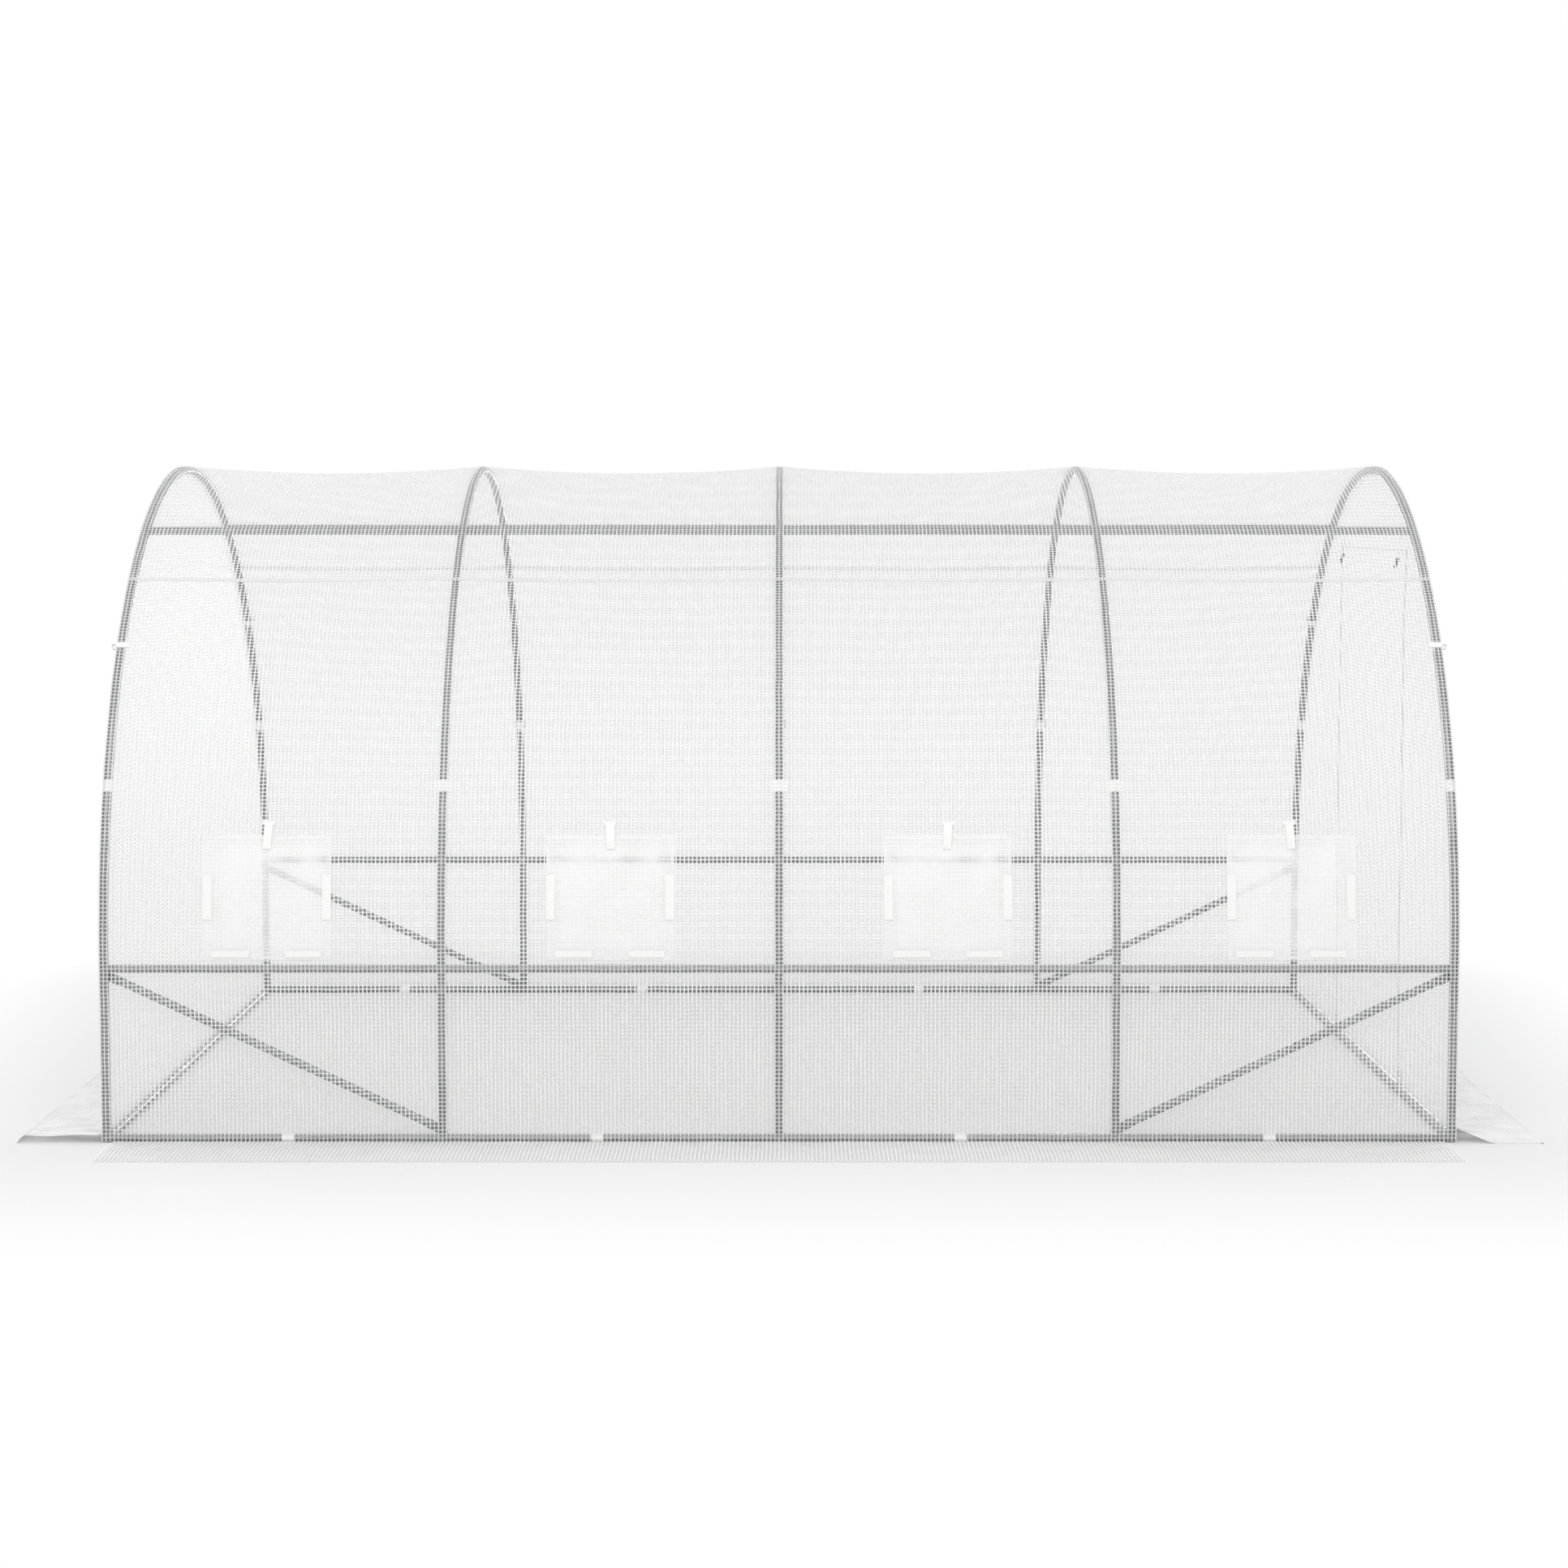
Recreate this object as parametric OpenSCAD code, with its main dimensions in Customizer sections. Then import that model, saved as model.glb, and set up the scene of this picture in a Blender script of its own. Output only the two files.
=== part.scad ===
// Polytunnel greenhouse: five tube hoops joined by rails and braces, under a film
// cover with roll-up windows along the front and a zipped door in the right end.
// X runs along the tunnel, Y across it and Z up from the ground, in millimetres.

/* [Frame] */
// Width over the hoop tubes
tunnel_w = 3000; // [2600:50:3400]
// Height of the straight hoop leg, up to where the arch springs
leg_h = 520; // [450:10:700]
// Distance from one hoop to the next
bay_l = 1000; // [800:20:1200]
// Outside diameter of every frame tube
tube_d = 25; // [20:1:32]
// Place of the purlins round the arch, in degrees up from its springing
purlin_angle = 60; // [56:1:70]
// Drop of the brace's top end below the side rail
brace_drop = 22; // [16:1:60]
// Length of the brace's pinched ends
pinch_l = 60; // [45:5:90]
// Thickness of the pinched ends
pinch_t = 4; // [3:0.5:6]
// Hole for the bolt through each pinched end
bolt_d = 7; // [5:0.5:9]

/* [Cover] */
// Thickness of the film
cover_t = 3; // [2:0.5:4]
// Place of the roof seams round the arch, in degrees up from its springing
seam_angle = 50; // [44:1:54]
// Width of the skirts along the two sides
side_skirt = 290; // [150:10:400]
// Width of the skirts at the two ends
end_skirt = 260; // [150:10:400]
// Distance from each end of a side skirt back to the corner of the tunnel
skirt_inset = 20; // [5:1:60]
// Distance that an end skirt runs on past the corners of the tunnel
skirt_lap = 20; // [0:1:40]

/* [Windows] */
// Width of each window opening
window_w = 300; // [220:10:400]
// Height of each window opening, along the curve of the cover
window_h = 300; // [220:10:360]
// Height of the window sill above the springing, along the curve
window_sill = 62; // [50:1:90]
// Lap of the flap over the cover, all round the opening
flap_lap = 34; // [20:1:44]
// Thickness of the insect net in the opening
net_t = 1.5; // [1:0.5:2]

/* [Door] */
// Width between the two zips
door_w = 1200; // [900:20:1400]
// Height of the door, up to the top of the zips
door_h = 1750; // [1550:10:1900]
// Least height of the wall left over the door's top corners
door_clear = 60; // [40:5:120]
// Width of the zip tape
zip_w = 26; // [16:1:40]
// Thickness of the zip tape with its teeth
zip_t = 3; // [2:0.5:5]
// Distance from each zip in to the tie that holds the rolled-up door
tie_inset = 90; // [50:5:200]
// Length of the tie webbing
tie_l = 90; // [60:5:140]
// Width of the tie webbing
tie_w = 14; // [10:1:24]
// Length of the toggle on the tie
toggle_l = 36; // [24:1:50]
// Diameter of the toggle's two barrels
toggle_d = 12; // [9:0.5:16]
// Diameter of the waist between them, where the tie grips
toggle_waist = 8; // [5:0.5:8.5]

/* [Straps] */
// Width of the cover straps round the tubes
strap_w = 36; // [20:1:50]
// Thickness of the strap webbing
strap_t = 2; // [1.5:0.5:3]
// Place of the lower hoop straps round the arch, in degrees up from its springing
strap_angle = 21; // [14:1:28]
// Place of the upper straps on the two end hoops, in degrees up from the springing
end_strap_angle = 39; // [33:1:46]
// Distance of the base straps from the second hoop at each end, as a share of a bay
strap_share = 0.46; // [0.35:0.01:0.65]

/* [Fit] */
// Clearance between pieces that are held against each other
fit_gap = 0.3; // [0.2:0.1:0.5]

/* [Hidden] */
$fn = 64;
arch_fn = 360;
bays = 4;
tube_r = tube_d / 2;
half_l = bays * bay_l / 2;
hoop_r = tunnel_w / 2 - tube_r;
// The arch springs from the legs, or higher where the door's top corners need the room.
corner_rise = sqrt(pow(tunnel_w / 2, 2) - pow(door_w / 2, 2));
spring_h = max(leg_h, door_h + door_clear - corner_rise);
cover_r = tunnel_w / 2 + fit_gap;
end_x = half_l + tube_r + fit_gap;
outer_x = end_x + cover_t;
outer_y = cover_r + cover_t;
saddle_r = tube_r + fit_gap;
strap_r = saddle_r + strap_t;
brace_y = hoop_r - tube_d - fit_gap;
brace_top = spring_h - brace_drop;
brace_foot = 1.2 * tube_d;
degrees_per_mm = 180 / (PI * cover_r);
hole_low = window_sill * degrees_per_mm;
hole_high = (window_sill + window_h) * degrees_per_mm;
lap_span = flap_lap * degrees_per_mm;
gap_span = fit_gap * degrees_per_mm;
band_high = hole_high + 1.5 * lap_span;
steel = [0.56, 0.58, 0.60];
film = [0.94, 0.95, 0.95];
webbing = [0.97, 0.97, 0.96];
dark = [0.16, 0.16, 0.17];

function hoop_x(i) = (i - bays / 2) * bay_l;
function bay_x(i) = (i + 0.5 - bays / 2) * bay_l;

// The back half is drawn, and the front half is its mirror image.
module front() {
    mirror([0, 1, 0]) children();
}

module left() {
    mirror([1, 0, 0]) children();
}

// Places a shape drawn in the plane of the arch, whose own Z then runs along the tunnel.
module in_arch() {
    translate([0, 0, spring_h]) rotate([90, 0, 90]) children();
}

// One hoop: a half circle of tube on two straight legs.
module hoop(i) {
    color(steel) translate([hoop_x(i), 0, 0]) {
        in_arch() rotate_extrude(angle = 180, $fn = arch_fn) {
            translate([hoop_r, 0]) circle(d = tube_d, $fn = 64);
        }
        for (side = [-1, 1]) {
            translate([0, side * hoop_r, 0]) cylinder(d = tube_d, h = spring_h);
        }
    }
}

// A run of tubes along the tunnel, one for each bay, their ends saddled to the hoops.
module rail_run(y, z, lean) {
    color(steel) difference() {
        translate([-half_l, y, z]) rotate([0, 90, 0]) cylinder(d = tube_d, h = 2 * half_l);
        for (i = [0 : bays]) {
            translate([hoop_x(i), y, z]) rotate([lean, 0, 0]) {
                cylinder(r = saddle_r, h = 4 * tube_d, center = true);
            }
        }
    }
}

module back_base_run() {
    rail_run(hoop_r, tube_r, 0);
}

module back_side_run() {
    rail_run(hoop_r, spring_h, 0);
}

module back_purlin_run() {
    rail_run(hoop_r * cos(purlin_angle), spring_h + hoop_r * sin(purlin_angle), purlin_angle);
}

// The base rail across one end, saddled to both legs and to the rails beside them.
module end_base_run() {
    color(steel) difference() {
        translate([half_l, -hoop_r, tube_r]) rotate([-90, 0, 0]) cylinder(d = tube_d, h = 2 * hoop_r);
        for (side = [-1, 1]) {
            translate([half_l, side * hoop_r, tube_r]) {
                cylinder(r = saddle_r, h = 4 * tube_d, center = true);
                rotate([0, 90, 0]) cylinder(r = saddle_r, h = 4 * tube_d, center = true);
            }
        }
    }
}

// A brace's end, pinched from the round tube at pinch_l to a flat tip round the bolt.
module pinched_end() {
    flare = 1.1 * tube_r;
    difference() {
        intersection() {
            rotate([90, 0, 90]) linear_extrude(3 * tube_d, center = true) {
                polygon([
                    [tube_r, -tube_d],
                    [tube_r, tube_r],
                    [flare, pinch_l],
                    [-flare, pinch_l],
                    [tube_r - pinch_t, tube_r],
                    [tube_r - pinch_t, -tube_d]
                ]);
            }
            rotate([90, 0, 0]) linear_extrude(3 * tube_d, center = true) {
                circle(d = tube_d);
                polygon([[-tube_r, 0], [tube_r, 0], [flare, pinch_l], [-flare, pinch_l]]);
            }
            translate([0, 0, -tube_d]) cylinder(d1 = 2 * tube_d, d2 = tube_d, h = pinch_l + tube_d);
        }
        rotate([90, 0, 0]) cylinder(d = bolt_d, h = 4 * tube_d, center = true);
    }
}

// The brace across the last bay, its pinched ends against the inside of the hoops.
module brace() {
    slope = atan2(brace_top - brace_foot, bay_l);
    run = bay_l / cos(slope);
    color(steel) translate([half_l, brace_y, brace_top]) rotate([0, -90 - slope, 0]) {
        translate([0, 0, pinch_l]) cylinder(d = tube_d, h = run - 2 * pinch_l);
        pinched_end();
        translate([0, 0, run]) mirror([0, 0, 1]) pinched_end();
    }
}

// A sheet bent round the arch, from one angle to another, on the given inside radius.
module bent_sheet(radius, thickness, low, high, length) {
    in_arch() rotate([0, 0, low]) rotate_extrude(angle = high - low, $fn = arch_fn) {
        translate([radius, -length / 2]) square([thickness, length]);
    }
}

module back_wall() {
    color(film) translate([-outer_x, cover_r, 0]) cube([2 * outer_x, cover_t, spring_h]);
}

module back_band_cover() {
    color(film) bent_sheet(cover_r, cover_t, 0, band_high, 2 * outer_x);
}

module front_window_band() {
    color(film) front() difference() {
        bent_sheet(cover_r, cover_t, 0, band_high, 2 * outer_x);
        for (i = [0 : bays - 1]) {
            translate([bay_x(i), 0, 0]) {
                bent_sheet(cover_r - cover_t, 3 * cover_t, hole_low, hole_high, window_w);
            }
        }
    }
}

module back_shoulder() {
    color(film) bent_sheet(cover_r, cover_t, band_high, seam_angle, 2 * outer_x);
}

module front_window_nets() {
    inside = cover_r + (cover_t - net_t) / 2;
    color(webbing) front() for (i = [0 : bays - 1]) {
        translate([bay_x(i), 0, 0]) {
            bent_sheet(inside, net_t, hole_low + gap_span, hole_high - gap_span, window_w - 2 * fit_gap);
        }
    }
}

module front_window_flaps() {
    width = window_w + 2 * flap_lap;
    color(film) front() for (i = [0 : bays - 1]) {
        translate([bay_x(i), 0, 0]) {
            bent_sheet(outer_y + fit_gap, cover_t, hole_low - lap_span, hole_high + lap_span, width);
        }
    }
}

module roof_cover() {
    color(film) bent_sheet(cover_r, cover_t, seam_angle, 180 - seam_angle, 2 * outer_x);
}

// The outline of an end wall: the arch standing on its two legs.
module end_outline() {
    radius = tunnel_w / 2;
    translate([-radius, 0]) square([2 * radius, spring_h]);
    intersection() {
        translate([0, spring_h]) circle(r = radius, $fn = arch_fn);
        translate([-radius, spring_h]) square([2 * radius, radius]);
    }
}

module end_sheet() {
    translate([end_x, 0, 0]) rotate([90, 0, 90]) linear_extrude(cover_t) children();
}

module left_end_panel() {
    color(film) left() end_sheet() end_outline();
}

// The end wall beside the door.
module door_side() {
    color(film) end_sheet() intersection() {
        end_outline();
        translate([door_w / 2, 0]) square([tunnel_w, spring_h + tunnel_w]);
    }
}

module right_end_top_panel() {
    half = door_w / 2 - fit_gap;
    color(film) end_sheet() intersection() {
        end_outline();
        translate([-half, door_h]) square([2 * half, tunnel_w]);
    }
}

module door_panel() {
    half = door_w / 2 - fit_gap;
    color(film) end_sheet() translate([-half, 0]) square([2 * half, door_h - fit_gap]);
}

module door_zips() {
    color(webbing) for (side = [-1, 1]) {
        translate([outer_x, side * door_w / 2 - zip_w / 2, 0]) cube([zip_t, zip_w, door_h]);
    }
}

// Each tie is sewn to the wall over the door, on the inside, and hangs down its face.
module door_ties() {
    color(webbing) for (side = [-1, 1]) {
        translate([end_x - strap_t, side * (door_w / 2 - tie_inset) - tie_w / 2, door_h - tie_l / 2]) {
            cube([strap_t, tie_w, tie_l]);
        }
    }
}

// Two barrels on a narrower waist.
module toggle() {
    barrel_l = 0.4 * toggle_l;
    cylinder(d = toggle_waist, h = toggle_l, center = true);
    for (end = [-1, 1]) {
        translate([0, 0, end * (toggle_l - barrel_l) / 2]) cylinder(d = toggle_d, h = barrel_l, center = true);
    }
}

module door_toggles() {
    color(dark) for (side = [-1, 1]) {
        translate([
            end_x - strap_t - fit_gap - toggle_d / 2,
            side * (door_w / 2 - tie_inset),
            door_h - tie_l / 2
        ]) {
            toggle();
        }
    }
}

module back_skirt_run() {
    length = 2 * (half_l - skirt_inset);
    color(film) translate([-length / 2, outer_y, 0]) cube([length, side_skirt, cover_t]);
}

module right_skirt() {
    length = tunnel_w + 2 * skirt_lap;
    color(film) translate([outer_x, -length / 2, 0]) cube([end_skirt, length, cover_t]);
}

// A band of webbing round a tube that lies along Y, open towards the cover at +X,
// and open at +Z as well where the tube lies in the corner of the cover.
module strap(in_corner) {
    difference() {
        rotate([90, 0, 0]) cylinder(r = strap_r, h = strap_w, center = true);
        rotate([90, 0, 0]) cylinder(r = saddle_r, h = 2 * strap_w, center = true);
        translate([tube_r, -strap_w, -2 * tube_d]) cube([tube_d, 2 * strap_w, 4 * tube_d]);
        if (in_corner) {
            translate([0, -strap_w, 0]) cube([2 * tube_d, 2 * strap_w, 2 * tube_d]);
            translate([-2 * tube_d, -strap_w, tube_r]) cube([4 * tube_d, 2 * strap_w, tube_d]);
        }
    }
}

module strap_on_arch(x, angle, in_corner) {
    translate([x, 0, 0]) in_arch() rotate([0, 0, angle]) translate([hoop_r, 0, 0]) strap(in_corner);
}

module back_hoop_strap_set() {
    color(webbing) {
        for (i = [1 : bays - 1]) {
            strap_on_arch(hoop_x(i), strap_angle, false);
        }
        for (angle = [strap_angle, end_strap_angle]) {
            strap_on_arch(half_l, angle, true);
            left() strap_on_arch(half_l, angle, true);
        }
    }
}

// Two straps on the base rail to each side of the second hoop from either end.
module back_base_strap_set() {
    color(webbing) for (side = [-1, 1]) {
        x = hoop_x(1) + side * strap_share * bay_l;
        for (place = [x, -x]) {
            translate([place, hoop_r, tube_r]) rotate([180, 0, 90]) strap(true);
        }
    }
}

module hoop_1() { hoop(0); }
module hoop_2() { hoop(1); }
module hoop_3() { hoop(2); }
module hoop_4() { hoop(3); }
module hoop_5() { hoop(4); }
module front_base_rail() { front() back_base_run(); }
module back_base_rail() { back_base_run(); }
module left_base_rail() { left() end_base_run(); }
module right_base_rail() { end_base_run(); }
module front_side_rail() { front() back_side_run(); }
module back_side_rail() { back_side_run(); }
module front_purlin() { front() back_purlin_run(); }
module back_purlin() { back_purlin_run(); }
module front_left_brace() { front() left() brace(); }
module front_right_brace() { front() brace(); }
module back_left_brace() { left() brace(); }
module back_right_brace() { brace(); }
module front_wall_cover() { front() back_wall(); }
module back_wall_cover() { back_wall(); }
module front_shoulder_cover() { front() back_shoulder(); }
module back_shoulder_cover() { back_shoulder(); }
module right_end_front_panel() { front() door_side(); }
module right_end_back_panel() { door_side(); }
module front_skirt() { front() back_skirt_run(); }
module back_skirt() { back_skirt_run(); }
module left_skirt() { left() right_skirt(); }
module front_hoop_straps() { front() back_hoop_strap_set(); }
module back_hoop_straps() { back_hoop_strap_set(); }
module front_base_straps() { front() back_base_strap_set(); }
module back_base_straps() { back_base_strap_set(); }

hoop_1();
hoop_2();
hoop_3();
hoop_4();
hoop_5();
front_base_rail();
back_base_rail();
left_base_rail();
right_base_rail();
front_side_rail();
back_side_rail();
front_purlin();
back_purlin();
front_left_brace();
front_right_brace();
back_left_brace();
back_right_brace();
front_wall_cover();
back_wall_cover();
front_window_band();
back_band_cover();
front_shoulder_cover();
back_shoulder_cover();
roof_cover();
left_end_panel();
right_end_front_panel();
right_end_back_panel();
right_end_top_panel();
door_panel();
door_zips();
door_ties();
door_toggles();
front_window_nets();
front_window_flaps();
front_skirt();
back_skirt();
left_skirt();
right_skirt();
front_hoop_straps();
back_hoop_straps();
front_base_straps();
back_base_straps();
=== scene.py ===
"""Looks of the polytunnel greenhouse: film cover, skirts, windows, door, straps and frame finish."""
import math

import bpy
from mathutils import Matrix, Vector, noise


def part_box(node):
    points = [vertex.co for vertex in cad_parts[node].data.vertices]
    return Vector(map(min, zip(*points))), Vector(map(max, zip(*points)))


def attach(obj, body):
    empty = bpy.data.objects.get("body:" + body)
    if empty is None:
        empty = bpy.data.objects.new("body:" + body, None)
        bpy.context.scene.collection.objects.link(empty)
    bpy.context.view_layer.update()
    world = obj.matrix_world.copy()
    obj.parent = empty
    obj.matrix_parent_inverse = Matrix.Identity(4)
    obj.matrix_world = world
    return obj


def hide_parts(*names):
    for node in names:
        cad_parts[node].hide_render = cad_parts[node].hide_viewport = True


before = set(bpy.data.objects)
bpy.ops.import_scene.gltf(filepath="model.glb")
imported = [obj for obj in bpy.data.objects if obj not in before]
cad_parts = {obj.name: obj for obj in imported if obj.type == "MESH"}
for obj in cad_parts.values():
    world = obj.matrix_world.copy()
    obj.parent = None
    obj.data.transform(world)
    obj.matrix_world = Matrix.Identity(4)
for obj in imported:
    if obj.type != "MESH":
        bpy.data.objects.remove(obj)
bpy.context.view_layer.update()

AXIS_X = Vector((1, 0, 0))
AXIS_Y = Vector((0, 1, 0))
AXIS_Z = Vector((0, 0, 1))


def middle(node, axis):
    """Middle of a CAD node's box along one axis."""
    low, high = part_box(node)
    return (low[axis] + high[axis]) / 2


# Frame sizes, read from the CAD nodes, in metres
BAYS = 4
HALF_L = middle("hoop_5", 0)
HALF_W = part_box("hoop_1")[1].y
TUBE_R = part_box("hoop_5")[1].x - HALF_L
SPRING = middle("front_side_rail", 2)
HOOP_R = HALF_W - TUBE_R
BAY = 2 * HALF_L / BAYS
HOOPS = [BAY * i - HALF_L for i in range(BAYS + 1)]
WINDOWS = [BAY * (i + 0.5) - HALF_L for i in range(BAYS)]
PURLIN = math.asin((middle("front_purlin", 2) - SPRING) / HOOP_R)

# Film sizes. The film stands SKIN off the tubes, FOOT off the ground and LAYER off a film under it
SKIN = 0.0009
FOOT = 0.003
LAYER = 0.0008
COVER_R = HALF_W + SKIN
END_X = HALF_L + TUBE_R + SKIN
ARCH_LENGTH = 2 * SPRING + math.pi * COVER_R
SEAM = math.asin((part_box("front_shoulder_cover")[1].z - SPRING) / COVER_R)
SEAM_S = SPRING + SEAM * COVER_R
SEAM_LAP = 0.024
SEAM_TAPE = 0.015
HEM = 0.012
ROOF_SAG = 0.024
SIDE_SAG = 0.010

# Threads, and how far they are shifted on trim, so that they fall beside those of the film under it
WEAVE_PITCH = 0.0122
WEFT_PITCH = 0.01206
THREAD = 0.0042
SEAM_THREADS = (0.005, 0.004)
SKIRT_HEM_THREADS = (0.005, 0.006)
FLAP_THREADS = (0.0043, 0.0061)
FLAP_HEM_THREADS = (0.0040, 0.0090)

# Mesh steps
GRID = 0.025
FLAP_GRID = 0.014
STRIP_GRID = 0.010
BAND_GRID = 0.008
SIDE_SKIRT_GRID = 0.012
END_SKIRT_GRID = 0.010


def along_arch(height):
    """Distance along the film from the ground up to a height on the arch."""
    return SPRING + COVER_R * math.asin((height - SPRING) / COVER_R)


# Windows, as distances along the film
NET_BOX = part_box("front_window_nets")
FLAP_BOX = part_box("front_window_flaps")
WINDOW_HALF = NET_BOX[1].x - WINDOWS[-1]
FLAP_EASE = 0.0057
FLAP_HALF = FLAP_BOX[1].x - WINDOWS[-1] + FLAP_EASE
FLAP_SHIFTS = (-0.016, 0.0, 0.0, 0.016)
FLAP_TIE_LEANS = (-0.06, 0.05, -0.03, 0.06)
HOLE_LOW = along_arch(NET_BOX[0].z)
HOLE_HIGH = along_arch(NET_BOX[1].z)
FLAP_LOW = along_arch(FLAP_BOX[0].z)
FLAP_HIGH = along_arch(FLAP_BOX[1].z)
FLAP_TALL = FLAP_HIGH - FLAP_LOW

# Door
ZIP_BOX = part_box("door_zips")
ZIP_W = 0.026
DOOR_HALF = ZIP_BOX[1].y - ZIP_W / 2
DOOR_TOP = ZIP_BOX[1].z

# Skirts
SKIRT_GAP = 0.002
SIDE_SKIRT_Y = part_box("back_skirt")[1].y
SIDE_SKIRT_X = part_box("back_skirt")[1].x
SIDE_SKIRT_INNER = HALF_W + SKIRT_GAP
END_SKIRT_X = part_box("right_skirt")[1].x
END_SKIRT_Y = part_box("right_skirt")[1].y
END_SKIRT_INNER = END_X + SKIRT_GAP
SKIRT_HEM_LIFT = 0.0003

# Straps
STRAP_W = 0.036
STRAP_TAB = 0.012
STRAP_ANGLE = math.radians(21)
END_STRAP_W = 0.022
END_STRAP_ANGLE = math.radians(39)
WEBBING = 0.0006


class Shape:
    """Verts, faces and weave places of many small shapes, to be made into one mesh."""

    def __init__(self):
        self.verts = []
        self.faces = []
        self.weave = []

    def add(self, verts, faces, weave=None):
        first = len(self.verts)
        self.verts += [tuple(v) for v in verts]
        self.faces += [tuple(first + i for i in face) for face in faces]
        self.weave += weave or [(v[0] + v[1], v[2]) for v in verts]

    def grid(self, across, along, place, weave=None, skip=None):
        """A sheet over a grid of values: place gives a point, and skip says which cells are cut out."""
        wide = len(across)
        verts = [place(u, v) for v in along for u in across]
        threads = [weave(u, v) if weave else (u, v) for v in along for u in across]
        faces = []
        for j, (v, next_v) in enumerate(zip(along, along[1:])):
            for i, (u, next_u) in enumerate(zip(across, across[1:])):
                if skip and skip((u + next_u) / 2, (v + next_v) / 2):
                    continue
                first = j * wide + i
                faces.append((first, first + 1, first + wide + 1, first + wide))
        self.add(verts, faces, threads)

    def ribbon(self, points, side, width, thickness):
        """A flat band along points. side is the direction of its width."""
        verts = []
        last = len(points) - 1
        for i, point in enumerate(points):
            run = points[min(i + 1, last)] - points[max(i - 1, 0)]
            lift = run.cross(side).normalized() * thickness / 2
            edge = side * width / 2
            verts += [point - edge - lift, point + edge - lift, point + edge + lift, point - edge + lift]
        faces = []
        for i in range(last):
            here, there = 4 * i, 4 * (i + 1)
            for k in range(4):
                faces.append((here + k, here + (k + 1) % 4, there + (k + 1) % 4, there + k))
        faces += [(3, 2, 1, 0), tuple(4 * last + k for k in range(4))]
        self.add(verts, faces)

    def turned(self, base, axis, profile, sides):
        """A turned shape: profile lists distance along the axis and radius."""
        axis = axis.normalized()
        across = axis.orthogonal().normalized()
        other = axis.cross(across)
        verts = []
        for distance, radius in profile:
            for k in range(sides):
                turn = 2 * math.pi * k / sides
                reach = across * math.cos(turn) + other * math.sin(turn)
                verts.append(base + axis * distance + reach * radius)
        faces = [tuple(reversed(range(sides)))]
        for ring in range(len(profile) - 1):
            for k in range(sides):
                a, b = ring * sides + k, ring * sides + (k + 1) % sides
                faces.append((a, b, b + sides, a + sides))
        last = (len(profile) - 1) * sides
        faces.append(tuple(range(last, last + sides)))
        self.add(verts, faces)

    def piece(self, name, material, slot, *nodes, smooth=True):
        """The shape as a piece of the object, in place of the CAD nodes that are named."""
        mesh = bpy.data.meshes.new(name)
        mesh.from_pydata(self.verts, [], self.faces)
        mesh.update()
        if smooth:
            mesh.shade_smooth()
        layer = mesh.uv_layers.new(name="weave")
        for loop in mesh.loops:
            layer.data[loop.index].uv = self.weave[loop.vertex_index]
        mesh.materials.append(material)
        obj = bpy.data.objects.new(name, mesh)
        bpy.context.scene.collection.objects.link(obj)
        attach(obj, "root")
        if nodes:
            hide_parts(*nodes)
        return obj


def steps(low, high, size):
    """Even steps from low to high, about size apart."""
    count = max(1, round((high - low) / size))
    return [low + (high - low) * i / count for i in range(count + 1)]


def joined(*runs):
    """Runs of steps joined end to end, without the doubled ends."""
    values = list(runs[0])
    for run in runs[1:]:
        values += run[1:]
    return values


def shifted(aside, upward):
    """Thread places moved aside and upward."""
    return lambda u, v: (u + aside, v + upward)


def ripple(a, b, size, seed):
    """Soft creases, from -1 to 1."""
    return noise.noise(Vector((a / size, b / size, seed)))


# Materials

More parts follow.
